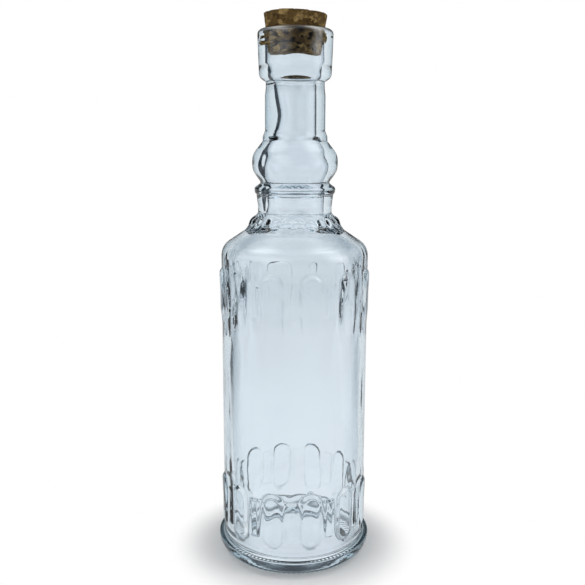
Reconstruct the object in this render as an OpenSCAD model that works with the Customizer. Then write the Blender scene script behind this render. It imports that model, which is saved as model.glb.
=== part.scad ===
// Decorative genie bottle of clear moulded glass with a tapered cork.
// Sizes are in millimetres. The table is z = 0 and the front is -Y.

/* [Foot] */
// diameter of the foot, the widest part of the bottle
foot_d = 62.3; // [60.5:0.1:65]
// height of the foot's straight side, from the table to its upper edge
foot_h = 6.5; // [6.2:0.1:9]
// radius of the rounded heel
heel_r = 5.5; // [4:0.1:5.7]
// depth of the hollow under the base
push_up_h = 3.2; // [1:0.1:4]
// diameter of the hollow under the base
push_up_d = 45; // [40:0.5:48]
// thickness of the glass floor at its outer edge
floor_h = 7.2; // [6.5:0.1:10]

/* [Body] */
// diameter of the plain part of the body
body_d = 58; // [57.4:0.1:58.6]
// height from the table to the corner of the shoulder
body_h = 126.1; // [124:0.1:150]
// radius of the rounded shoulder corner
shoulder_r = 6.5; // [3:0.1:8]
// thickness of the body's wall
body_wall = 2.7; // [2:0.1:3.5]

/* [Raised lobes] */
// how many tall lobes stand round each band
lobe_count = 12; // [8:1:12]
// turn of the lobes from the front, towards +X
lobe_turn = 12.9; // [0:0.1:30]
// how far the lobes stand proud
lobe_proud = 1.1; // [0.6:0.05:1.4]
// width of a lobe
lobe_w = 8.2; // [6:0.1:9]
// height of the lower lobes
low_lobe_h = 21.1; // [16:0.1:30]
// height of the upper lobes
top_lobe_h = 19.3; // [16:0.1:30]
// gap from the foot's upper edge to the lower lobes
low_lobe_gap = 5.4; // [4.5:0.1:9]
// gap from the shoulder corner down to the upper lobes
top_lobe_gap = 7.9; // [7:0.1:12]
// how far the slim reeds between the lobes stand proud
reed_proud = 0.45; // [0.3:0.05:0.6]
// width of a slim reed
reed_w = 4; // [3:0.1:4.4]

/* [Shoulder] */
// rise of the shoulder from its corner to the ring of petals
shoulder_h = 6.3; // [5.5:0.1:8]
// diameter where the ring of petals meets the shoulder
ring_d = 39; // [38:0.1:40]
// height of the ring of petals
ring_h = 6.9; // [6.5:0.1:8]
// how many petals stand in the ring
petal_count = 24; // [16:1:24]
// how far the petals stand proud
petal_proud = 1.55; // [1:0.05:1.7]
// radius of a petal's rounding
petal_round = 2.05; // [1.8:0.05:2.1]

/* [Neck] */
// diameter at the foot of the neck's lower collar
waist_d = 28.8; // [28.4:0.1:29.6]
// height of the lower collar, up to the groove
waist_h = 11.5; // [11:0.1:13]
// largest diameter of the lower collar
low_collar_d = 31.9; // [31.4:0.1:33]
// diameter in the groove under the bulb
groove_d = 26.4; // [26:0.1:27]
// largest diameter of the bulb
bulb_d = 33.2; // [32.6:0.1:34.5]
// height of the bulb
bulb_h = 15.9; // [15.5:0.1:18]
// diameter of the small bead over the bulb
bead_d = 25; // [24.6:0.1:25.6]
// height of the small bead
bead_h = 3.9; // [3.6:0.1:5]
// diameter of the straight neck
neck_d = 23.2; // [22.8:0.1:24]
// diameter of the neck just under the top collar
neck_top_d = 22.5; // [22:0.1:22.7]
// height of the straight neck
neck_h = 18; // [17:0.1:28]
// diameter of the bore through the neck
neck_bore_d = 15.1; // [13:0.1:16]

/* [Top collar and mouth] */
// height of the top collar
collar_h = 19; // [18.6:0.1:21]
// diameter of the top collar near its lower end
collar_d = 28.3; // [27.8:0.1:28.7]
// diameter of the top collar at the rim
rim_d = 28.9; // [28.8:0.1:30]
// radius of the rim's outer edge
rim_r = 1.2; // [0.6:0.1:1.5]

/* [Cork] */
// length of the cork
cork_h = 14.3; // [13:0.1:15]
// how far the cork stands out of the mouth
cork_out = 6.1; // [5:0.1:6.5]
// diameter of the cork's lower end
cork_low_d = 20.3; // [19.8:0.1:20.6]
// diameter of the cork where it leaves the mouth
cork_mid_d = 22.5; // [22.2:0.1:22.8]
// diameter of the cork's top
cork_top_d = 24.6; // [23.2:0.1:26]
// how far the cork leans towards +X, in degrees
cork_tilt = 1.6; // [0:0.1:1.8]
// gap all round the cork in its seat
cork_gap = 0.15; // [0.14:0.01:0.3]

/* [Hidden] */
$fn = 96;
foot_rad = foot_d/2;
body_rad = body_d/2;
cave_rad = body_rad - body_wall;
z_shoulder = body_h;
z_ring = z_shoulder + shoulder_h;
z_waist = z_ring + ring_h;
z_groove = z_waist + waist_h;
z_bead = z_groove + bulb_h;
z_neck = z_bead + bead_h;
z_collar = z_neck + neck_h;
z_rim = z_collar + collar_h;
z_cork = z_rim + cork_out - cork_h;
cork_in = cork_h - cork_out;
cork_slope = (cork_mid_d - cork_low_d)/2/cork_in;
seat_h = 5.3;
seat_low_rad = cork_mid_d/2 - seat_h*cork_slope + cork_gap;
seat_top_rad = cork_mid_d/2 + cork_gap;
shoulder_slope = shoulder_h/(body_rad - ring_d/2);
shoulder_drop = body_wall*norm([1, shoulder_slope]);
bore_rad = neck_bore_d/2;

// Corners rounded by arcs: each point is [radius, height, corner radius].
function unit(v) = v/norm(v);

function corner_arc(a, p, b, r) =
    let (u = unit(a - p), v = unit(b - p),
         half = acos(u*v)/2,
         mid = p + unit(u + v)*r/sin(half),
         s = p + u*r/tan(half) - mid,
         e = p + v*r/tan(half) - mid,
         start = atan2(s[1], s[0]),
         turn = (atan2(e[1], e[0]) - start + 540) % 360 - 180,
         steps = max(2, ceil(abs(turn)/11)))
    [for (k = [0:steps]) mid + r*[cos(start + turn*k/steps), sin(start + turn*k/steps)]];

function flat2(p) = [p[0], p[1]];

function rounded(list) =
    [for (i = [0:len(list) - 1])
        each list[i][2] > 0
            ? corner_arc(flat2(list[i - 1]), flat2(list[i]), flat2(list[i + 1]), list[i][2])
            : [flat2(list[i])]];

// The outside, from the middle of the base up to the rim.
outside = rounded([
    [0, push_up_h, 0],
    [push_up_d/2 - 6, push_up_h, 8],
    [push_up_d/2, 0, 0.8],
    [foot_rad, 0, heel_r],
    [foot_rad, foot_h, 0.6],
    [body_rad, foot_h + 0.4, 1.2],
    [body_rad, z_shoulder, shoulder_r],
    [ring_d/2, z_ring, 3],
    [waist_d/2, z_waist, 2],
    [waist_d/2 + 0.05, z_waist + 2.7, 1],
    [low_collar_d/2, z_groove - 2.3, 1.6],
    [groove_d/2, z_groove, 0.7],
    [bulb_d/2, z_groove + 4.8, 6],
    [bulb_d/2, z_bead - 5.2, 6],
    [bead_d/2, z_bead, 0.6],
    [bead_d/2, z_bead + 1.7, 0.6],
    [neck_d/2, z_neck, 0.8],
    [neck_d/2, z_collar - 5, 3],
    [neck_top_d/2, z_collar - 2, 3],
    [neck_top_d/2, z_collar, 0],
    [neck_top_d/2 + 0.6, z_collar + 0.3, 0],
    [collar_d/2, z_collar + 2.6, 2.2],
    [rim_d/2, z_rim, rim_r],
    [0, z_rim, 0]
]);

// The inside, from the middle of the floor out through the mouth.
inside = rounded([
    [0, floor_h + 1.6, 0],
    [cave_rad/2, floor_h + 1.2, 12],
    [cave_rad, floor_h, 5.5],
    [cave_rad, z_shoulder + body_wall*shoulder_slope - shoulder_drop, 5],
    [12.8, z_ring + (ring_d/2 - 12.8)*shoulder_slope - shoulder_drop, 3.5],
    [11.2, z_waist + 0.4, 3],
    [11.2, z_groove - 3.2, 2.5],
    [10.4, z_groove + 0.2, 2],
    [12.8, z_groove + 5.4, 4.5],
    [12.8, z_bead - 5.8, 4.5],
    [bore_rad, z_bead + 1.6, 4],
    [bore_rad, z_collar - 0.6, 3],
    [bore_rad + 0.75, z_collar + 1.6, 1.5],
    [seat_low_rad, z_collar + 7.4, 1.5],
    [seat_low_rad, z_rim - seat_h, 0],
    [seat_top_rad, z_rim, 0.9],
    [seat_top_rad + 2, z_rim, 0],
    [seat_top_rad + 2, z_rim + 2, 0],
    [0, z_rim + 2, 0]
]);

// A rod with round ends, standing upright round its own middle.
module capsule(rad, half_l) {
    rotate_extrude()
        intersection() {
            union() {
                translate([0, half_l]) circle(r = rad);
                translate([0, -half_l]) circle(r = rad);
                translate([0, -half_l]) square([rad, 2*half_l]);
            }
            translate([0, -half_l - rad]) square([rad, 2*half_l + 2*rad]);
        }
}

// One raised pill on the body's wall, w wide and tall high where it leaves the wall.
module pill(w, tall, proud, z) {
    out = body_rad + proud;
    side = sqrt(body_rad*body_rad - w*w/4);
    mid = (out*out - body_rad*body_rad)/2/(out - side);
    rad = out - mid;
    dip = sqrt(2*rad*proud - proud*proud);
    translate([mid, 0, z + tall/2])
        capsule(rad, tall/2 - dip);
}

// One petal with round ends, lying on the cone between the shoulder and the lower collar.
module petal() {
    run = (ring_d - waist_d)/2;
    half_l = norm([run, ring_h])/2 - petal_round;
    translate([ring_d/2 - run*0.52, 0, z_ring + ring_h*0.52])
        rotate([0, -atan2(run, ring_h), 0])
            translate([petal_proud - petal_round, 0, 0])
                capsule(petal_round, half_l);
}

module band(tall, z) {
    for (k = [0:lobe_count - 1])
        rotate([0, 0, lobe_turn + k*360/lobe_count])
            pill(lobe_w, tall, lobe_proud, z);
}

module reeds(tall, z) {
    for (k = [0:lobe_count - 1])
        rotate([0, 0, lobe_turn + (k + 0.5)*360/lobe_count])
            pill(reed_w, tall, reed_proud, z);
}

module glass_bottle() {
    low_z = foot_h + low_lobe_gap;
    top_z = z_shoulder - top_lobe_gap - top_lobe_h;
    color([0.86, 0.92, 0.95, 0.35])
        difference() {
            union() {
                rotate_extrude() polygon(outside);
                band(low_lobe_h, low_z);
                reeds(low_lobe_h - 6, low_z + 3);
                band(top_lobe_h, top_z);
                reeds(top_lobe_h - 6, top_z + 3);
                for (k = [0:petal_count - 1])
                    rotate([0, 0, lobe_turn + (k + 0.5)*360/petal_count])
                        petal();
            }
            rotate_extrude() polygon(inside);
        }
}

module cork_stopper() {
    color([0.66, 0.45, 0.27])
        translate([0, 0, z_rim - seat_h/2])
            rotate([0, cork_tilt, 0])
                translate([0, 0, z_cork - z_rim + seat_h/2])
                    rotate_extrude()
                        polygon(rounded([
                            [0, 0, 0],
                            [cork_low_d/2, 0, 0.5],
                            [cork_mid_d/2, cork_in, 6],
                            [cork_top_d/2, cork_h, 0.6],
                            [0, cork_h, 0]
                        ]));
}

glass_bottle();
cork_stopper();
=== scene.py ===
# Genie bottle of clear moulded glass with a tapered cork, dressed for a studio picture.
# Everything is in metres. The table is z = 0 and the front is -Y.
import math

import bpy
import numpy as np
from mathutils import Matrix, Vector, noise


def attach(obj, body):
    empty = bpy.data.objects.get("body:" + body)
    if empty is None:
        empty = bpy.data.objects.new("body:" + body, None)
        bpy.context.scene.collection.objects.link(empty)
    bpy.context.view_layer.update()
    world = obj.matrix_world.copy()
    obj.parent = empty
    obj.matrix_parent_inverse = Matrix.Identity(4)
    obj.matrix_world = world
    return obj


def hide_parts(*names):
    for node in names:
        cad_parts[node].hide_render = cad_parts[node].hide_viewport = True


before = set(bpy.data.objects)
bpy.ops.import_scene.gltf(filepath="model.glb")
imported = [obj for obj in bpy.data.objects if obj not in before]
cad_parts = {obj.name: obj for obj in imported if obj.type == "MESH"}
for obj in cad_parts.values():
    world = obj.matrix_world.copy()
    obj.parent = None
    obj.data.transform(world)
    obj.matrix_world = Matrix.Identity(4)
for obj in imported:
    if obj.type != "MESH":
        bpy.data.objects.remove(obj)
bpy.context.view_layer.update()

mm = 0.001


def deselectAll():
    if bpy.context.mode != "OBJECT":
        bpy.ops.object.mode_set(mode="OBJECT")
    bpy.ops.object.select_all(action="DESELECT")


# Points of the arc that rounds one corner of an outline.
def cornerArc(before, corner, after, radius, stepDegrees=16):
    u = (before - corner).normalized()
    v = (after - corner).normalized()
    half = u.angle(v) / 2
    middle = corner + (u + v).normalized() * radius / math.sin(half)
    start = corner + u * radius / math.tan(half) - middle
    end = corner + v * radius / math.tan(half) - middle
    first = math.atan2(start.y, start.x)
    turn = (math.atan2(end.y, end.x) - first + 3 * math.pi) % (2 * math.pi) - math.pi
    count = max(2, math.ceil(abs(math.degrees(turn)) / stepDegrees))
    angles = [first + turn * k / count for k in range(count + 1)]
    return [middle + radius * Vector((math.cos(a), math.sin(a))) for a in angles]


# Corners are (radius, height, rounding) in millimetres; the outline comes back in metres. The
# step between its points, where it runs straight, is what stepAt gives for that place.
def roundedLine(corners, stepAt):
    raw = []
    for k, (x, y, rounding) in enumerate(corners):
        here = Vector((x, y))
        if rounding > 0:
            raw += cornerArc(Vector(corners[k - 1][:2]), here, Vector(corners[k + 1][:2]), rounding)
        else:
            raw.append(here)
    line = [raw[0]]
    for point in raw[1:]:
        if (point - line[-1]).length < 0.03:
            continue
        while (point - line[-1]).length > 1.5 * stepAt(line[-1]):
            line.append(line[-1] + (point - line[-1]).normalized() * stepAt(line[-1]))
        line.append(point)
    return [p * mm for p in line]


# Draws the outline point by point and spins it round the bottle's axis.
def spinOutline(name, line, segments):
    deselectAll()
    bpy.ops.mesh.primitive_plane_add(size=mm, location=(0, 0, 0))
    piece = bpy.context.object
    piece.name = name
    bpy.ops.object.mode_set(mode="EDIT")
    bpy.ops.mesh.select_all(action="SELECT")
    bpy.ops.mesh.merge(type="CENTER")
    bpy.ops.transform.translate(value=(line[0].x, 0, line[0].y))
    for here, there in zip(line, line[1:]):
        step = (there.x - here.x, 0, there.y - here.y)
        bpy.ops.mesh.extrude_region_move(TRANSFORM_OT_translate={"value": step})
    bpy.ops.mesh.select_all(action="SELECT")
    bpy.ops.mesh.spin(steps=segments, angle=2 * math.pi, center=(0, 0, 0), axis=(0, 0, 1))
    bpy.ops.mesh.select_all(action="SELECT")
    bpy.ops.mesh.remove_doubles(threshold=0.004 * mm)
    bpy.ops.object.mode_set(mode="OBJECT")
    return piece


def readPoints(piece):
    flat = np.empty(len(piece.data.vertices) * 3)
    piece.data.vertices.foreach_get("co", flat)
    return flat.reshape(-1, 3)


def writePoints(piece, points):
    piece.data.vertices.foreach_set("co", points.ravel())
    piece.data.update()


def closeAndSmooth(piece):
    deselectAll()
    piece.select_set(True)
    bpy.context.view_layer.objects.active = piece
    bpy.ops.object.mode_set(mode="EDIT")
    bpy.ops.mesh.select_all(action="SELECT")
    bpy.ops.mesh.remove_doubles(threshold=0.004 * mm)
    bpy.ops.mesh.normals_make_consistent(inside=False)
    bpy.ops.object.mode_set(mode="OBJECT")
    bpy.ops.object.shade_smooth()


def newMaterial(name):
    made = bpy.data.materials.new(name)
    made.use_nodes = True
    made.node_tree.nodes.clear()
    return made, made.node_tree.nodes, made.node_tree.links


def addMath(nodes, links, operation, first, second=None):
    made = nodes.new("ShaderNodeMath")
    made.operation = operation
    for k, value in enumerate((first, second)):
        if isinstance(value, (int, float)):
            made.inputs[k].default_value = value
        elif value is not None:
            links.new(value, made.inputs[k])
    return made.outputs["Value"]


# Eases from toLow to toHigh while the value goes from fromLow to fromHigh.
def addEase(nodes, links, value, fromLow, fromHigh, toLow=0.0, toHigh=1.0):
    made = nodes.new("ShaderNodeMapRange")
    made.interpolation_type = "SMOOTHSTEP"
    made.inputs["From Min"].default_value = fromLow
    made.inputs["From Max"].default_value = fromHigh
    made.inputs["To Min"].default_value = toLow
    made.inputs["To Max"].default_value = toHigh
    links.new(value, made.inputs["Value"])
    return made.outputs["Result"]


def addMix(nodes, links, factor, first, second):
    made = nodes.new("ShaderNodeMix")
    made.data_type = "RGBA"
    links.new(factor, made.inputs["Factor"])
    for name, value in (("A", first), ("B", second)):
        if isinstance(value, tuple):
            made.inputs[name].default_value = (*value, 1)
        else:
            links.new(value, made.inputs[name])
    return made.outputs["Result"]


# A soft mottle that every finish here uses: it wanders between two values over the surface.
def mottleGroup():
    group = bpy.data.node_groups.new("softMottle", "ShaderNodeTree")
    group.interface.new_socket("Vector", in_out="INPUT", socket_type="NodeSocketVector")
    group.interface.new_socket("Scale", in_out="INPUT", socket_type="NodeSocketFloat")
    group.interface.new_socket("Low", in_out="INPUT", socket_type="NodeSocketFloat")
    group.interface.new_socket("High", in_out="INPUT", socket_type="NodeSocketFloat")
    group.interface.new_socket("Value", in_out="OUTPUT", socket_type="NodeSocketFloat")
    start = group.nodes.new("NodeGroupInput")
    end = group.nodes.new("NodeGroupOutput")
    cloud = group.nodes.new("ShaderNodeTexNoise")
    cloud.inputs["Detail"].default_value = 4
    spread = group.nodes.new("ShaderNodeMapRange")
    spread.inputs["From Min"].default_value = 0.3
    spread.inputs["From Max"].default_value = 0.7
    group.links.new(start.outputs["Vector"], cloud.inputs["Vector"])
    group.links.new(start.outputs["Scale"], cloud.inputs["Scale"])
    group.links.new(cloud.outputs["Fac"], spread.inputs["Value"])
    group.links.new(start.outputs["Low"], spread.inputs["To Min"])
    group.links.new(start.outputs["High"], spread.inputs["To Max"])
    group.links.new(spread.outputs["Result"], end.inputs["Value"])
    return group


mottle = mottleGroup()


def addMottle(nodes, links, coordinates, scale, low, high):
    made = nodes.new("ShaderNodeGroup")
    made.node_tree = mottle
    made.inputs["Scale"].default_value = scale
    made.inputs["Low"].default_value = low
    made.inputs["High"].default_value = high
    links.new(coordinates, made.inputs["Vector"])
    return made.outputs["Value"]


# The glass

glass = {
    "segments": 288,
    "faceTint": (0.90, 0.94, 0.968),    # what shows through straight on
    "coolTint": (0.865, 0.895, 0.935),    # and in the slightly greyer patches
    "sideShade": (0.58, 0.66, 0.72),      # painted shade where the wall turns away
    "grazingShade": (0.26, 0.32, 0.36),      # painted shade at a grazing angle
    "creaseShadeTint": (0.34, 0.41, 0.45),    # painted shade along the foot of the raised pattern, its rings and the foot's ticks
    "absorbTint": (0.78, 0.87, 0.91),
    "absorbDensity": 80.0,               # for each metre of glass
    "cavityShift": 0.38,                 # mm towards +X, so the left wall is the thicker
    "wallWave": 0.22,                    # mm
    "neckPinch": 1.5,                    # mm that the bore leans in on the left, low in the neck
    "foldDepth": 0.16,                   # mm, folds inside the lower collar
    "streakDepth": 0.62,                 # mm, upright waves of the wall behind the lobes
    "strokeDepth": 0.3,                  # mm, narrower ones at both sides of the upper band
    "dents": (                           # x, y, z, radius, height and depth in mm, of the inner wall
        (-11.3, -6.0, 158.8, 2.0, 3.0, 0.27), (-9.6, -5.1, 149.0, 1.6, 1.8, 0.12),
        (-9.9, -5.2, 145.3, 1.8, 2.4, 0.18), (-9.9, -5.2, 141.5, 1.5, 2.2, 0.14),
        (0.6, -9.6, 194.0, 5.2, 2.9, 1.3),
        (25.5, -7.6, 70.5, 1.8, 4.5, 0.26), (-24.3, -9.2, 62.0, 1.9, 4.0, 0.085),
        (-24.3, -9.2, 38.6, 1.8, 2.0, 0.06),
    ),
    "knurls": 96,
    "knurlDepth": 0.45,                  # mm
    # how strong the painted dark ticks on the knurls are
    "knurlShade": 0.55,
    "heelCentre": (25.65, 5.5),          # radius and height of the centre of the heel's rounding, mm
    "rimHeight": 207.8,                  # mm
    "splitRadius": 12.6,                 # mm, where the outer skin and the inner wall meet on the rim
    "lipHaze": 0.42,                     # roughness of the rim's lip
    "lipGloss": 1.0,
}

relief = {
    "bodyRadius": 29.0,
    "lobes": 12,
    "turn": 12.9,                        # degrees
    "bands": ((11.9, 33.0), (98.9, 118.2)),
    "shadeZones": ((97, 120, 0.16), (120, 131, 0.06), (168, 187, 0.11)),   # painted grey shade: from z to z, and how much
    "seed": 7,
    "lobeQuirk": (0.35, 0.16, 0.6, 0.4),   # mm: sideways, half width, upper and lower end
    "lobeHalfWidth": 4.1,
    "lobeSide": 1.2,                     # width of its rounded side
    "lobeHeight": 0.52,
    "lobeHead": 0.33,                    # mm more at its upper end
    "lobeCrown": 0.12,
    "reedHalfWidth": 2.1,
    "reedSide": 0.7,
    "reedHeight": 0.4,
    "reedShort": 3.0,
    "petals": 24,
    "petalHalfWidth": 2.15,
    "petalProud": 0.8,
    "petalEnds": (-0.72, 0.62),          # from -1 at the ring to 1 at the waist
    "ringPoint": (19.5, 132.4),
    "waistPoint": (14.4, 139.3),
    "rings": (                           # radius, height and depth of the painted shade along the mould's sharp rings
        (11.3, 188.8, 2.5), (11.3, 186.7, 1.0), (13.2, 150.8, 0.8), (15.4, 146.7, 0.9),
        (19.5, 132.4, 0.3), (14.4, 139.3, 0.8), (12.5, 166.7, 0.4),
    ),
}

outsideCorners = [
    (0, 3.2, 0), (16.5, 3.2, 8), (22.5, 0, 0.8), (31.15, 0, 5.5), (31.15, 6.5, 0.6),
    (29.0, 6.9, 1.2), (29.0, 126.1, 6.5), (19.5, 132.4, 2.6), (14.4, 139.3, 1.4), (14.45, 142.0, 1),
    (15.05, 146.4, 0.3), (15.55, 146.9, 0.3), (15.95, 148.8, 1.4), (13.2, 150.8, 0.7),
    (16.6, 155.6, 6), (16.6, 161.5, 6), (12.5, 166.7, 0.6), (12.5, 168.4, 0.6), (11.6, 170.6, 0.8),
    (11.6, 183.6, 3), (11.25, 186.6, 2.5), (11.25, 188.7, 0), (11.5, 189.0, 0),
    (13.8, 190.4, 2.7), (14.45, glass["rimHeight"], 1.6), (glass["splitRadius"], glass["rimHeight"], 0),
]
insideCorners = [
    (glass["splitRadius"], glass["rimHeight"], 0), (11.4, glass["rimHeight"], 1.0), (10.69, 202.3, 0),
    (10.69, 195.2, 3.0), (8.5, 190.0, 1.8), (7.55, 187.6, 2.5),
    (7.55, 168.8, 5.0), (12.7, 158.9, 5.0), (12.7, 156.4, 4.0),
    (10.4, 151.0, 2), (11.2, 147.6, 2.5), (11.2, 139.7, 3), (12.8, 133.7, 3.5), (26.3, 124.6, 5),
    (26.3, 5.2, 2.4), (13.15, 6.0, 12), (0, 6.4, 0),
]


def angleFrom(turn, pitch, angles):
    return np.radians((np.degrees(angles) - turn + pitch / 2) % pitch - pitch / 2)


# Rise of a raised shape, a distance in from its outline: a rounded side, then a slow crown.
def raisedRise(inside, side, height, crown, halfWidth):
    up = np.clip(inside / side, 0, 1)
    over = np.clip(inside / halfWidth, 0, 1)
    return height * np.sqrt(1 - (1 - up) ** 2) + crown * (1 - (1 - over) ** 2)


def nearZero(distance, width):
    return np.exp(-(distance / width) ** 2)


# The painted shade along the mould's rings comes and goes round the glass.
def patchy(angles, start):
    return 0.5 + 0.5 * np.sin(3 * angles + start) * np.sin(8 * angles + 2.3 * start)


# Lobes with round ends, no two quite alike, and between them shorter flat-ended reeds, with painted shade along
# their feet.
def bandRise(angles, z, low, high, quirks):
    body = relief["bodyRadius"]
    pitch = 360 / relief["lobes"]
    middle = (low + high) / 2
    number = ((np.degrees(angles) - relief["turn"] + pitch / 2) // pitch).astype(int) % relief["lobes"]
    aside, wider, upper, lower = (quirks[number] * relief["lobeQuirk"]).T
    halfWidth = relief["lobeHalfWidth"] + wider
    lobeAcross = body * angleFrom(relief["turn"], pitch, angles) + aside
    pastTop = z - (high + upper - halfWidth)
    pastFoot = (low + lower + halfWidth) - z
    lobeAlong = np.clip(np.maximum(pastTop, pastFoot), 0, None)
    lobeInside = halfWidth - np.hypot(lobeAcross, lobeAlong)
    head = np.clip((z - high + 10) / 8, 0, 1) * relief["lobeHead"]
    lobe = raisedRise(lobeInside, relief["lobeSide"], relief["lobeHeight"] + head, relief["lobeCrown"],
                      relief["lobeHalfWidth"])
    reedAcross = body * np.abs(angleFrom(relief["turn"] + pitch / 2, pitch, angles))
    reedAlong = np.abs(z - middle) - (high - low) / 2 + relief["reedShort"]
    reedInside = np.minimum(relief["reedHalfWidth"] - reedAcross, -reedAlong)
    reed = raisedRise(reedInside, relief["reedSide"], relief["reedHeight"], 0, relief["reedHalfWidth"])
    clearer = 1.5 if low > 50 else 1.0
    # Painted shade along the foot of each lobe and reed, broken up round the glass, stronger on the upper band
    # and near each band's lower end.
    crease = clearer * np.maximum(0.6 * nearZero(lobeInside, 0.5), 0.3 * nearZero(reedInside, 0.4))
    shadeBreaks = 0.42 + 0.58 * np.sin(5 * angles + 0.45 * z) * np.sin(13 * angles - 0.31 * z + 1.3)
    foot = 1 + 0.8 * np.clip((low + 3 - z) / 2, 0, 1)
    return np.maximum(lobe, reed), np.clip(crease * shadeBreaks * foot, 0, 1)


# Petals stand on the cone between the shoulder and the collar, rounded like half an almond, with painted shade
# along their outlines.
def raisePetals(radius, angles, z):
    ring, waist = np.array(relief["ringPoint"]), np.array(relief["waistPoint"])
    halfLength = np.linalg.norm(waist - ring) / 2
    slope = (waist - ring) / halfLength / 2
    normal = np.array([slope[1], -slope[0]])
    middle = (ring + waist) / 2
    along = (radius - middle[0]) * slope[0] + (z - middle[1]) * slope[1]
    height = (radius - middle[0]) * normal[0] + (z - middle[1]) * normal[1]
    pitch = 360 / relief["petals"]
    across = radius * angleFrom(relief["turn"] + pitch / 2, pitch, angles)
    share = along / halfLength
    foot, top = relief["petalEnds"]
    along = np.clip((share - foot) / (top - foot), 0, 1)
    inside = np.where(along < 0.6, np.sin(np.pi / 1.2 * along) ** 2, 1 - ((along - 0.6) / 0.4) ** 2)
    halfWidth = relief["petalHalfWidth"] * (1 - 0.22 * share) * (0.4 + 0.6 * inside)
    reach = np.clip(1 - (across / halfWidth) ** 2, 0, 1)
    dome = relief["petalProud"] * reach * inside
    onCone = (np.abs(height) < 1.2) & (z > ring[1] - 1) & (z < waist[1] + 1)
    lift = np.where(onCone, dome, 0)
    # Painted shade along the petal's outline.
    crease = np.where(onCone, 0.22 * nearZero(reach - 0.12, 0.18) * inside, 0)
    return lift * normal[0], lift * normal[1], crease


def raisePattern(piece):
    points = readPoints(piece) / mm
    radius = np.hypot(points[:, 0], points[:, 1])
    angles = np.arctan2(points[:, 1], points[:, 0])
    z = points[:, 2]
    outward, upward, crease = raisePetals(radius, angles, z)
    chance = np.random.default_rng(relief["seed"])
    for low, high in relief["bands"]:
        near = (z > low - 1) & (z < high + 1) & (radius > relief["bodyRadius"] - 0.5)
        rise, edge = bandRise(angles, z, low, high, chance.uniform(-1, 1, (relief["lobes"], 4)))
        outward = outward + np.where(near, rise, 0)
        crease = np.maximum(crease, np.where(near, edge, 0))
    # Painted grey shade over whole zones, and painted dark lines along the mould's rings.
    for start, end, amount in relief["shadeZones"]:
        zone = np.clip((z - start) / 1.5, 0, 1) * np.clip((end - z) / 1.5, 0, 1)
        crease = np.maximum(crease, amount * zone)
    for ringRadius, ringHeight, depth in relief["rings"]:
        ringDistance = np.hypot(radius - ringRadius, z - ringHeight)
        line = depth * nearZero(ringDistance, 0.4) * patchy(angles, ringHeight)
        crease = np.maximum(crease, np.minimum(line, 1))
    heelRadius, heelHeight = glass["heelCentre"]
    bearing = (z < 4.6) & (radius > 22.6)
    window = np.clip((radius - 22.6) / 0.6, 0, 1) * np.clip((4.6 - z) / 1.6, 0, 1)
    groove = glass["knurlDepth"] * (0.5 - 0.5 * np.cos(glass["knurls"] * angles)) * window
    aside = np.clip(radius - heelRadius, 0, None)
    groove = groove * (1 - 0.6 * np.clip((aside - 1.5) / 2, 0, 1))
    reach = np.hypot(aside, z - heelHeight)
    outward = outward - np.where(bearing, groove * aside / reach, 0)
    upward = upward + np.where(bearing, groove * (heelHeight - z) / reach, 0)
    # Painted dark ticks on the knurls of the foot.
    tick = 0.5 + 0.5 * np.cos(glass["knurls"] * angles)
    tick = glass["knurlShade"] * tick * np.clip((radius - 26.5) / 1.5, 0, 1) * np.clip((4.2 - z) / 1.2, 0, 1)
    crease = np.maximum(crease, np.where(bearing, tick, 0))
    radius = radius + outward
    writePoints(piece, np.column_stack([radius * np.cos(angles), radius * np.sin(angles), z + upward]) * mm)
    # The painted shade is kept per point, for the glass's tint.
    mark = piece.data.attributes.new("paintedMouldShade", "FLOAT", "POINT")
    mark.data.foreach_set("value", crease.astype(np.float32))
    lip = np.clip((z - glass["rimHeight"] + 1.75) / 0.35, 0, 1) * np.clip((radius - 12.0) / 0.5, 0, 1)
    mark = piece.data.attributes.new("lip", "FLOAT", "POINT")
    mark.data.foreach_set("value", lip.astype(np.float32))


def ramp(value, low, high):
    return min(1, max(0, (value - low) / (high - low)))


def wander(x, y, z, across, along, start=0.0):
    return noise.noise(Vector((x * across, y * across, z * along + start)))


# Pressed glass has an uneven inner wall: thicker on one side, with slow waves, folds and dents.
def wallPush(x, y, z, radius):
    left = max(0, -x / radius) ** 1.5
    push = glass["wallWave"] * wander(x, y, z, 0.075, 0.026) * (0.7 * ramp(z, 186, 176) + 0.3 * ramp(z, 128, 110))
    push -= glass["neckPinch"] * left * ramp(z, 188, 176) * ramp(z, 168, 176)
    fold = 0.5 * wander(x, y, z, 0.12, 0.21, 5.0) + 0.7 * wander(x, y, z, 0.2, 0.5)
    push += glass["foldDepth"] * fold * (0.25 + 1.5 * left) * ramp(z, 138, 141) * ramp(z, 152.5, 150.5)
    behindLobes = ramp(z, 92, 99) * ramp(z, 125, 119) + 0.5 * ramp(z, 9, 14) * ramp(z, 42, 34)
    atSides = ramp(abs(x) / radius, 0.6, 0.8) * ramp(z, 60, 90)
    push += glass["streakDepth"] * wander(x, y, z, 0.24, 0.075, 3.0) * behindLobes * (0.8 + 1.1 * atSides)
    push += glass["strokeDepth"] * wander(x, y, z, 0.5, 0.13, 11.0) * behindLobes * atSides
    for dentX, dentY, dentZ, width, height, depth in glass["dents"]:
        reach = ((x - dentX) ** 2 + (y - dentY) ** 2) / width ** 2 + (z - dentZ) ** 2 / height ** 2
        push -= depth * math.exp(-reach)
    return push


def unevenWall(piece):
    points = readPoints(piece) / mm
    for k, (x, y, z) in enumerate(points):
        radius = math.hypot(x, y)
        if radius < 0.5:
            continue
        scale = (radius + wallPush(x, y, z, radius)) / radius
        points[k] = (x * scale + glass["cavityShift"] * ramp(z, 128, 110), y * scale, z)
    writePoints(piece, points * mm)


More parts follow.
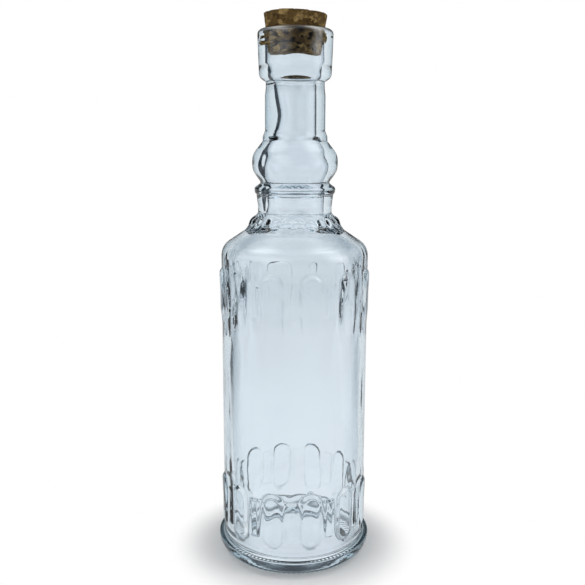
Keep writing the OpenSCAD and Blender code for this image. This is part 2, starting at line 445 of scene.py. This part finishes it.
# Short steps only where the pattern changes along the outline.
def outerStep(point):
    z = point.y
    for low, high in relief["bands"]:
        if low - 0.8 < z < low + 4.6 or high - 4.6 < z < high + 0.8:
            return 0.6
        if low < z < high:
            return 2.4
    if 131.5 < z < 140.2:
        return 0.5
    if z < 4.6:
        return 1.0
    if any(abs(z - height) < 0.8 for _, height, _ in relief["rings"]):
        return 0.4
    if 34 < z < 97:
        return 6.0
    return 1.9


def innerStep(point):
    z = point.y
    if 153 < z < 168 or 138 < z < 152:
        return 1.0
    if 92 < z < 126 or 9 < z < 42:
        return 2.6
    return 6.0 if 42 < z < 92 else 2.2


# The base and the cone of petals are seen at a slant all over, so the painted side shade is held back there.
def markSlants(piece):
    points = readPoints(piece) / mm
    radius = np.hypot(points[:, 0], points[:, 1])
    z = points[:, 2]
    base = np.clip((11 - z) / 2, 0, 1) * np.clip(27.5 - radius, 0, 1)
    base = np.maximum(base, 0.85 * np.clip((radius - 29.2) / 0.5, 0, 1) * np.clip(8 - z, 0, 1))
    cone = 0.85 * np.clip(z - 130.5, 0, 1) * np.clip(140.5 - z, 0, 1)
    mark = piece.data.attributes.new("slant", "FLOAT", "POINT")
    mark.data.foreach_set("value", np.maximum(base, cone).astype(np.float32))


def buildGlass():
    skin = spinOutline("genie_glass", roundedLine(outsideCorners, outerStep), glass["segments"])
    raisePattern(skin)
    wall = spinOutline("inner_wall", roundedLine(insideCorners, innerStep), glass["segments"])
    unevenWall(wall)
    deselectAll()
    skin.select_set(True)
    wall.select_set(True)
    bpy.context.view_layer.objects.active = skin
    bpy.ops.object.join()
    closeAndSmooth(skin)
    markSlants(skin)
    return skin


def clearGlass():
    made, nodes, links = newMaterial("clearPressedGlass")
    place = nodes.new("ShaderNodeTexCoord").outputs["Object"]
    shader = nodes.new("ShaderNodeBsdfPrincipled")
    shader.inputs["Transmission Weight"].default_value = 1
    shader.inputs["IOR"].default_value = 1.5
    facing = nodes.new("ShaderNodeLayerWeight")
    facing.inputs["Blend"].default_value = 0.5
    # Painted shade: the tint darkens as the wall turns away, and darker still at a grazing angle, for the dark
    # edges of the glass.
    side = addEase(nodes, links, facing.outputs["Facing"], 0.32, 0.80)
    edge = addEase(nodes, links, facing.outputs["Facing"], 0.74, 1.0)
    slant = nodes.new("ShaderNodeAttribute")
    slant.attribute_name = "slant"
    upright = addMath(nodes, links, "SUBTRACT", 1.0, slant.outputs["Fac"])
    side = addMath(nodes, links, "MULTIPLY", side, upright)
    edge = addMath(nodes, links, "MULTIPLY", edge, upright)
    # Painted shade along the raised pattern's feet, the mould's rings, the grey zones and the foot's knurls.
    paintedMouldShade = nodes.new("ShaderNodeAttribute")
    paintedMouldShade.attribute_name = "paintedMouldShade"
    patch = addMottle(nodes, links, place, 22, 0, 1)
    tint = addMix(nodes, links, patch, glass["faceTint"], glass["coolTint"])
    tint = addMix(nodes, links, side, tint, glass["sideShade"])
    tint = addMix(nodes, links, edge, tint, glass["grazingShade"])
    tint = addMix(nodes, links, paintedMouldShade.outputs["Fac"], tint, glass["creaseShadeTint"])
    path = nodes.new("ShaderNodeLightPath")
    onCork = addMath(nodes, links, "MINIMUM", path.outputs["Diffuse Depth"], 1.0)
    links.new(addMix(nodes, links, onCork, tint, (1.0, 1.0, 1.0)), shader.inputs["Base Color"])
    lip = nodes.new("ShaderNodeAttribute")
    lip.attribute_name = "lip"
    haze = addMath(nodes, links, "MULTIPLY", lip.outputs["Fac"], glass["lipHaze"])
    haze = addMath(nodes, links, "MAXIMUM", addMottle(nodes, links, place, 60, 0.0, 0.03), haze)
    links.new(haze, shader.inputs["Roughness"])
    gloss = addMath(nodes, links, "MULTIPLY", lip.outputs["Fac"], glass["lipGloss"])
    links.new(gloss, shader.inputs["Coat Weight"])
    shader.inputs["Coat IOR"].default_value = 2.7
    shader.inputs["Coat Roughness"].default_value = 0.25
    bump = nodes.new("ShaderNodeBump")
    bump.inputs["Strength"].default_value = 0.3
    bump.inputs["Distance"].default_value = 0.25 * mm
    links.new(addMottle(nodes, links, place, 38, 0, 1), bump.inputs["Height"])
    links.new(bump.outputs["Normal"], shader.inputs["Normal"])
    inside = nodes.new("ShaderNodeVolumeAbsorption")
    inside.inputs["Color"].default_value = (*glass["absorbTint"], 1)
    inside.inputs["Density"].default_value = glass["absorbDensity"]
    end = nodes.new("ShaderNodeOutputMaterial")
    links.new(shader.outputs["BSDF"], end.inputs["Surface"])
    links.new(inside.outputs["Volume"], end.inputs["Volume"])
    return made


print("glass: spinning the outline and raising the pattern")
bottle = buildGlass()
bottle.data.materials.append(clearGlass())
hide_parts("glass_bottle")
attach(bottle, "bottle")

# The cork

cork = {
    "segments": 330,
    "squeeze": 0.8,        # mm that it bulges against the mouth
    "squeezed": (2.5, 7.7),
    "foot": 198.9,
    "turnPoint": 207.6,
    "aside": -0.15,
    "lean": 1.6,
    "grain": 2.3,          # mm across one granule
    "crevice": 0.5,        # mm deep
    "void": 1.1,           # mm deep, where granules fell out
    "unevenness": 0.16,    # mm between granules
    "light": (0.35, 0.235, 0.092),
    "dark": (0.112, 0.068, 0.022),
    "shankLightening": 0.3,      # painted light: how much lighter the granules are below the mouth, where less light reaches them through the glass
    # painted shade in the crevices and voids
    "creviceShadeTint": (0.012, 0.006, 0.003),
    # painted shade on the front of the cork inside the glass, for the shadowed gaps between cork and glass
    "frontShade": 0.85,
    "frontShadeBox": (-4.0, 3.6, 8.9),   # mm, of the painted shade: from x to x on the front, and up to this height
}
corkCorners = [(0, 0, 0), (10.1, 0, 0.4), (11.1, 8.7, 6), (12.1, 14.8, 0.6), (0, 14.8, 0)]


# The mouth squeezes the cork, and its springy granules bulge against the glass.
def squeezeCork(piece):
    points = readPoints(piece)
    low, high = cork["squeezed"]
    for k, point in enumerate(points):
        x, y, z = point / mm
        radius = math.hypot(x, y)
        if radius < 9.8:
            continue
        held = ramp(z, low, low + 0.8) * ramp(z, high, high - 0.8) * ramp(abs(x) / radius, 0.78, 0.9)
        bulge = cork["squeeze"] * held * ramp(wander(x, y, z, 0.35, 0.35, 8.0), -0.3, 0.1)
        points[k][:2] *= 1 + bulge / radius
    writePoints(piece, points)


# Granules pressed together: each cell sits a little in or out, with a crevice where cells meet
# and a void here and there on the side. Crevices and voids are painted in dark shade.
def granulate(piece):
    points = readPoints(piece)
    normals = np.empty(len(points) * 3)
    piece.data.vertices.foreach_get("normal", normals)
    normals = normals.reshape(-1, 3)
    tone = piece.data.attributes.new("granuleTone", "FLOAT", "POINT")
    gap = piece.data.attributes.new("creviceShadeMask", "FLOAT", "POINT")
    tones = np.zeros(len(points))
    gaps = np.zeros(len(points))
    grain = cork["grain"]
    frontShadeLeft, frontShadeRight, frontShadeTop = cork["frontShadeBox"]
    for k, point in enumerate(points):
        spot = Vector(point / mm)
        wobble = noise.noise_vector(spot * 0.9) * 0.7 + noise.noise_vector(spot * 2.6) * 0.35
        distances, centres = noise.voronoi((spot + wobble) / grain)
        seam = distances[1] - distances[0]
        cell = noise.cell(centres[0] * 7.3 + Vector((0.5, 0.5, 0.5)))
        second = noise.cell(centres[0] * 3.1 + Vector((9.5, 4.5, 2.5)))
        closed = min(1, max(0, seam / 0.26))
        hole = ramp(wander(*spot, 0.42, 0.75, 21.0), 0.16, 0.26) * ramp(spot.z, 10.0, 7.5)
        # Painted shade on the front of the cork inside the glass, for the shadowed gaps between cork and glass.
        frontShade = ramp(spot.x, frontShadeLeft - 0.6, frontShadeLeft + 0.6) * ramp(spot.x, frontShadeRight + 0.6, frontShadeRight - 0.6)
        frontShade *= ramp(spot.z, frontShadeTop, frontShadeTop - 1) * ramp(spot.y, 0, -2)
        frontShade *= cork["frontShade"] * ramp(wander(*spot, 0.4, 0.6, 33.0), -0.35, 0.25)
        depth = cork["crevice"] * (1 - closed) ** 2 * (0.3 + 0.7 * second)
        inward = max(depth + cork["unevenness"] * (1 - cell) * closed, cork["void"] * hole)
        # Painted light: the granules below the mouth are lighter, to make up for the dimmer light through the
        # glass.
        tones[k] = (cell + cork["shankLightening"] * ramp(spot.z, 9.1, 8.3)) * (1 - frontShade) - 0.2 * frontShade
        gaps[k] = max((1 - closed) * (0.35 + 0.65 * second), hole, 0.6 * frontShade)
        points[k] = point - normals[k] * inward * mm
    tone.data.foreach_set("value", tones.astype(np.float32))
    gap.data.foreach_set("value", gaps.astype(np.float32))
    writePoints(piece, points)


def buildCork():
    line = roundedLine(corkCorners, lambda point: 0.24)
    piece = spinOutline("cork_piece", line, cork["segments"])
    closeAndSmooth(piece)
    squeezeCork(piece)
    granulate(piece)
    up = Matrix.Translation((0, 0, (cork["foot"] - cork["turnPoint"]) * mm))
    lean = Matrix.Rotation(math.radians(cork["lean"]), 4, "Y")
    place = Matrix.Translation((cork["aside"] * mm, 0, cork["turnPoint"] * mm))
    piece.data.transform(place @ lean @ up)
    return piece


def corkFinish():
    made, nodes, links = newMaterial("pressedCork")
    place = nodes.new("ShaderNodeTexCoord").outputs["Object"]
    shader = nodes.new("ShaderNodeBsdfPrincipled")
    tone = nodes.new("ShaderNodeAttribute")
    tone.attribute_name = "granuleTone"
    gap = nodes.new("ShaderNodeAttribute")
    gap.attribute_name = "creviceShadeMask"
    fleck = addMath(nodes, links, "ADD", addMottle(nodes, links, place, 800, -0.5, 0.45),
                    addMottle(nodes, links, place, 2300, -0.42, 0.42))
    blend = nodes.new("ShaderNodeMath")
    blend.operation = "ADD"
    blend.use_clamp = True
    links.new(tone.outputs["Fac"], blend.inputs[0])
    links.new(fleck, blend.inputs[1])
    granules = nodes.new("ShaderNodeMix")
    granules.data_type = "RGBA"
    granules.inputs["A"].default_value = (*cork["dark"], 1)
    granules.inputs["B"].default_value = (*cork["light"], 1)
    links.new(blend.outputs["Value"], granules.inputs["Factor"])
    # Painted shade in the crevices, the voids and the front patch.
    seams = nodes.new("ShaderNodeMix")
    seams.data_type = "RGBA"
    seams.inputs["B"].default_value = (*cork["creviceShadeTint"], 1)
    links.new(gap.outputs["Fac"], seams.inputs["Factor"])
    links.new(granules.outputs["Result"], seams.inputs["A"])
    links.new(seams.outputs["Result"], shader.inputs["Base Color"])
    links.new(addMottle(nodes, links, place, 400, 0.72, 0.95), shader.inputs["Roughness"])
    shader.inputs["Specular IOR Level"].default_value = 0.12
    bump = nodes.new("ShaderNodeBump")
    bump.inputs["Strength"].default_value = 0.6
    bump.inputs["Distance"].default_value = 0.15 * mm
    links.new(addMottle(nodes, links, place, 1400, 0, 1), bump.inputs["Height"])
    links.new(bump.outputs["Normal"], shader.inputs["Normal"])
    end = nodes.new("ShaderNodeOutputMaterial")
    links.new(shader.outputs["BSDF"], end.inputs["Surface"])
    return made


print("cork: pressing the granules")
stopper = buildCork()
stopper.data.materials.append(corkFinish())
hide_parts("cork_stopper")
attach(stopper, "cork")

# The studio: a pale floor that fades into a white background, soft light and the camera

studio = {
    "focal": 770.0,          # pixels, for a picture 585 pixels wide
    "pictureWidth": 585.0,
    "sensor": 36.0,
    "distance": 303.7,       # mm
    "height": 163.4,         # mm
    "aside": -0.8,           # mm
    "downTilt": 10.5,
    "roll": 0.185,
    "floorTint": (0.92, 0.925, 0.93),
    "floorSize": 12.0,
    "floorFade": (0.031, 0.052),         # m from the axis, where the floor turns into the white
    "contactRing": (0.0285, 0.032),      # m, the shade that the foot stands in
    "roomLight": 0.30,
    "roomMirrored": 0.15,    # how much of that room a gloss mirrors
    "mirrorShare": 0.12,     # how much of the white a gloss mirrors, next to the dim room
    "cardTint": (0.02, 0.03, 0.04),
    "cardAngle": (62.0, 67.0),           # degrees from straight behind, on the left and on the right
    "cardReach": (15.0, 9.0),            # half the width of each card, in degrees
    "ceiling": (25.0, 33.0),             # degrees up, where the dark ceiling starts
    "curtain": 0.96,                     # how dark it is on the side of the camera
    "throughLight": 0.85,                # how much of the white lights the cork through the glass
    "lamps": (               # place and size in m, power in W
        ((-0.58, -0.66, 0.46), (1.55, 1.0), 8.0),
        ((0.80, -0.25, 0.46), (0.85, 1.0), 5.8),
        ((-0.46, 0.02, 0.92), (0.95, 0.80), 5.4),
        ((0.46, 0.02, 0.92), (0.95, 0.80), 5.4),
    ),
}


# Dark cards stand far out at both sides under a dark ceiling, with a dark curtain at the front, as
# for any picture of clear glass on white. Only light that was turned round inside the glass, or
# mirrored, reaches them.
def cardGroup():
    group = bpy.data.node_groups.new("sideCards", "ShaderNodeTree")
    group.interface.new_socket("Vector", in_out="INPUT", socket_type="NodeSocketVector")
    group.interface.new_socket("Mirrored", in_out="INPUT", socket_type="NodeSocketFloat")
    group.interface.new_socket("Color", in_out="OUTPUT", socket_type="NodeSocketColor")
    nodes, links = group.nodes, group.links
    start = nodes.new("NodeGroupInput")
    end = nodes.new("NodeGroupOutput")
    split = nodes.new("ShaderNodeSeparateXYZ")
    links.new(start.outputs["Vector"], split.inputs["Vector"])
    across = addMath(nodes, links, "ABSOLUTE", split.outputs["X"])
    along = addMath(nodes, links, "ABSOLUTE", split.outputs["Y"])
    turned = addMath(nodes, links, "ARCTAN2", across, along)
    flat = nodes.new("ShaderNodeVectorMath")
    flat.operation = "LENGTH"
    onGround = nodes.new("ShaderNodeCombineXYZ")
    links.new(across, onGround.inputs["X"])
    links.new(along, onGround.inputs["Y"])
    links.new(onGround.outputs["Vector"], flat.inputs[0])
    onRight = addMath(nodes, links, "GREATER_THAN", split.outputs["X"], 0.0)
    leftAngle, rightAngle = [math.radians(a) for a in studio["cardAngle"]]
    leftReach, rightReach = [math.radians(a) for a in studio["cardReach"]]
    moved = addMath(nodes, links, "MULTIPLY", onRight, rightAngle - leftAngle)
    middle = addMath(nodes, links, "ADD", moved, leftAngle)
    off = addMath(nodes, links, "ABSOLUTE", addMath(nodes, links, "SUBTRACT", turned, middle))
    narrower = addMath(nodes, links, "MULTIPLY", onRight, leftReach - rightReach)
    past = addMath(nodes, links, "ADD", off, narrower)
    soft = math.radians(2.5)
    card = addEase(nodes, links, past, leftReach - soft, leftReach + soft, 1.0, 0.0)
    level = addMath(nodes, links, "ARCTAN2", split.outputs["Z"], flat.outputs["Value"])
    ceiling = addEase(nodes, links, level, *[math.radians(a) for a in studio["ceiling"]])
    dark = addMath(nodes, links, "MAXIMUM", card, ceiling)
    forward = addMath(nodes, links, "DIVIDE", split.outputs["Y"], flat.outputs["Value"])
    curtain = addEase(nodes, links, forward, -0.5, -0.1, studio["curtain"], 0.0)
    dark = addMath(nodes, links, "MAXIMUM", dark, curtain)
    seen = addMath(nodes, links, "MINIMUM", start.outputs["Mirrored"], 1.0)
    dark = addMath(nodes, links, "MULTIPLY", dark, seen)
    links.new(addMix(nodes, links, dark, (1.0, 1.0, 1.0), studio["cardTint"]), end.inputs["Color"])
    return group


cards = cardGroup()


def addCards(nodes, links, coordinates, mirrored):
    made = nodes.new("ShaderNodeGroup")
    made.node_tree = cards
    links.new(coordinates, made.inputs["Vector"])
    links.new(mirrored, made.inputs["Mirrored"])
    return made.outputs["Color"]


# Light that was seen through glass, and little of the light that falls on the cork through it.
def seenThrough(nodes, links, path):
    straight = addEase(nodes, links, path.outputs["Diffuse Depth"], 0.0, 1.0, 1.0, studio["throughLight"])
    return addMath(nodes, links, "MULTIPLY", path.outputs["Is Transmission Ray"], straight)


def buildFloor():
    deselectAll()
    bpy.ops.mesh.primitive_plane_add(size=studio["floorSize"], location=(0, 0, -0.02 * mm))
    floor = bpy.context.object
    floor.name = "studio_floor"
    made, nodes, links = newMaterial("paleFloor")
    place = nodes.new("ShaderNodeTexCoord").outputs["Object"]
    paper = nodes.new("ShaderNodeBsdfDiffuse")
    paper.inputs["Color"].default_value = (*studio["floorTint"], 1)
    away = nodes.new("ShaderNodeVectorMath")
    away.operation = "LENGTH"
    links.new(place, away.inputs[0])
    distance = away.outputs["Value"]
    path = nodes.new("ShaderNodeLightPath")
    fade = addEase(nodes, links, distance, *studio["floorFade"])
    ringIn, ringOut = studio["contactRing"]
    underFoot = addMath(nodes, links, "MAXIMUM", addEase(nodes, links, distance, ringIn - 0.002, ringIn, 1, 0),
                        addEase(nodes, links, distance, ringOut, ringOut + 0.004))
    direct = addMath(nodes, links, "MULTIPLY", path.outputs["Is Camera Ray"], fade)
    through = addMath(nodes, links, "MULTIPLY", seenThrough(nodes, links, path), underFoot)
    mirrored = addMath(nodes, links, "MULTIPLY", path.outputs["Is Glossy Ray"], fade)
    mirrored = addMath(nodes, links, "MULTIPLY", mirrored, studio["mirrorShare"])
    share = addMath(nodes, links, "MAXIMUM", direct, addMath(nodes, links, "MAXIMUM", through, mirrored))
    farOut = addMath(nodes, links, "MULTIPLY", path.outputs["Glossy Depth"],
                     addEase(nodes, links, distance, 0.12, 0.3))
    white = nodes.new("ShaderNodeEmission")
    white.inputs["Strength"].default_value = 1
    links.new(addCards(nodes, links, place, farOut), white.inputs["Color"])
    mix = nodes.new("ShaderNodeMixShader")
    links.new(share, mix.inputs["Fac"])
    links.new(paper.outputs["BSDF"], mix.inputs[1])
    links.new(white.outputs["Emission"], mix.inputs[2])
    end = nodes.new("ShaderNodeOutputMaterial")
    links.new(mix.outputs["Shader"], end.inputs["Surface"])
    floor.data.materials.append(made)


# A softbox is brightest in the middle and fades towards its edges.
def softenLamp(lamp):
    lamp.use_nodes = True
    nodes, links = lamp.node_tree.nodes, lamp.node_tree.links
    nodes.clear()
    spot = nodes.new("ShaderNodeSeparateXYZ")
    links.new(nodes.new("ShaderNodeNewGeometry").outputs["Parametric"], spot.inputs["Vector"])
    strength = 1.0
    for axis in ("X", "Y"):
        off = addMath(nodes, links, "ABSOLUTE", addMath(nodes, links, "SUBTRACT", spot.outputs[axis], 0.5))
        strength = addMath(nodes, links, "MULTIPLY", addEase(nodes, links, off, 0.08, 0.5, 1.0, 0.0), strength)
    glow = nodes.new("ShaderNodeEmission")
    links.new(strength, glow.inputs["Strength"])
    end = nodes.new("ShaderNodeOutputLight")
    links.new(glow.outputs["Emission"], end.inputs["Surface"])


def buildLight():
    world = bpy.data.worlds.new("studioWorld")
    bpy.context.scene.world = world
    world.use_nodes = True
    nodes, links = world.node_tree.nodes, world.node_tree.links
    nodes.clear()
    path = nodes.new("ShaderNodeLightPath")
    direction = nodes.new("ShaderNodeTexCoord").outputs["Generated"]
    white = nodes.new("ShaderNodeBackground")
    white.inputs["Strength"].default_value = 1
    links.new(addCards(nodes, links, direction, path.outputs["Glossy Depth"]), white.inputs["Color"])
    room = nodes.new("ShaderNodeBackground")
    dimmer = addEase(nodes, links, path.outputs["Is Glossy Ray"], 0.0, 1.0, 1.0, studio["roomMirrored"])
    links.new(addMath(nodes, links, "MULTIPLY", dimmer, studio["roomLight"]), room.inputs["Strength"])
    room.inputs["Color"].default_value = (0.95, 0.98, 1, 1)
    mirrored = addMath(nodes, links, "MULTIPLY", path.outputs["Is Glossy Ray"], studio["mirrorShare"])
    seen = addMath(nodes, links, "MAXIMUM", path.outputs["Is Camera Ray"],
                   addMath(nodes, links, "MAXIMUM", seenThrough(nodes, links, path), mirrored))
    mix = nodes.new("ShaderNodeMixShader")
    links.new(seen, mix.inputs["Fac"])
    links.new(room.outputs["Background"], mix.inputs[1])
    links.new(white.outputs["Background"], mix.inputs[2])
    end = nodes.new("ShaderNodeOutputWorld")
    links.new(mix.outputs["Shader"], end.inputs["Surface"])
    for k, (spot, (width, height), power) in enumerate(studio["lamps"]):
        lamp = bpy.data.lights.new(f"softbox_{k}", "AREA")
        lamp.shape = "RECTANGLE"
        lamp.size = width
        lamp.size_y = height
        lamp.energy = power
        softenLamp(lamp)
        holder = bpy.data.objects.new(f"softbox_{k}", lamp)
        holder.location = spot
        aim = Vector((0, 0, 0.1)) - Vector(spot)
        holder.rotation_euler = aim.to_track_quat("-Z", "Y").to_euler()
        bpy.context.scene.collection.objects.link(holder)


def buildCamera():
    lens = bpy.data.cameras.new("photoCamera")
    lens.sensor_width = studio["sensor"]
    lens.lens = studio["focal"] * studio["sensor"] / studio["pictureWidth"]
    lens.clip_start = 0.01
    lens.clip_end = 50
    camera = bpy.data.objects.new("photoCamera", lens)
    bpy.context.scene.collection.objects.link(camera)
    place = Vector((studio["aside"], -studio["distance"], studio["height"])) * mm
    tilt = Matrix.Rotation(math.radians(90 - studio["downTilt"]), 4, "X")
    roll = Matrix.Rotation(math.radians(studio["roll"]), 4, "Z")
    camera.matrix_world = Matrix.Translation(place) @ tilt @ roll
    bpy.context.scene.camera = camera


print("studio: floor, light and camera")
buildFloor()
buildLight()
buildCamera()
bpy.context.scene.view_settings.view_transform = "Standard"
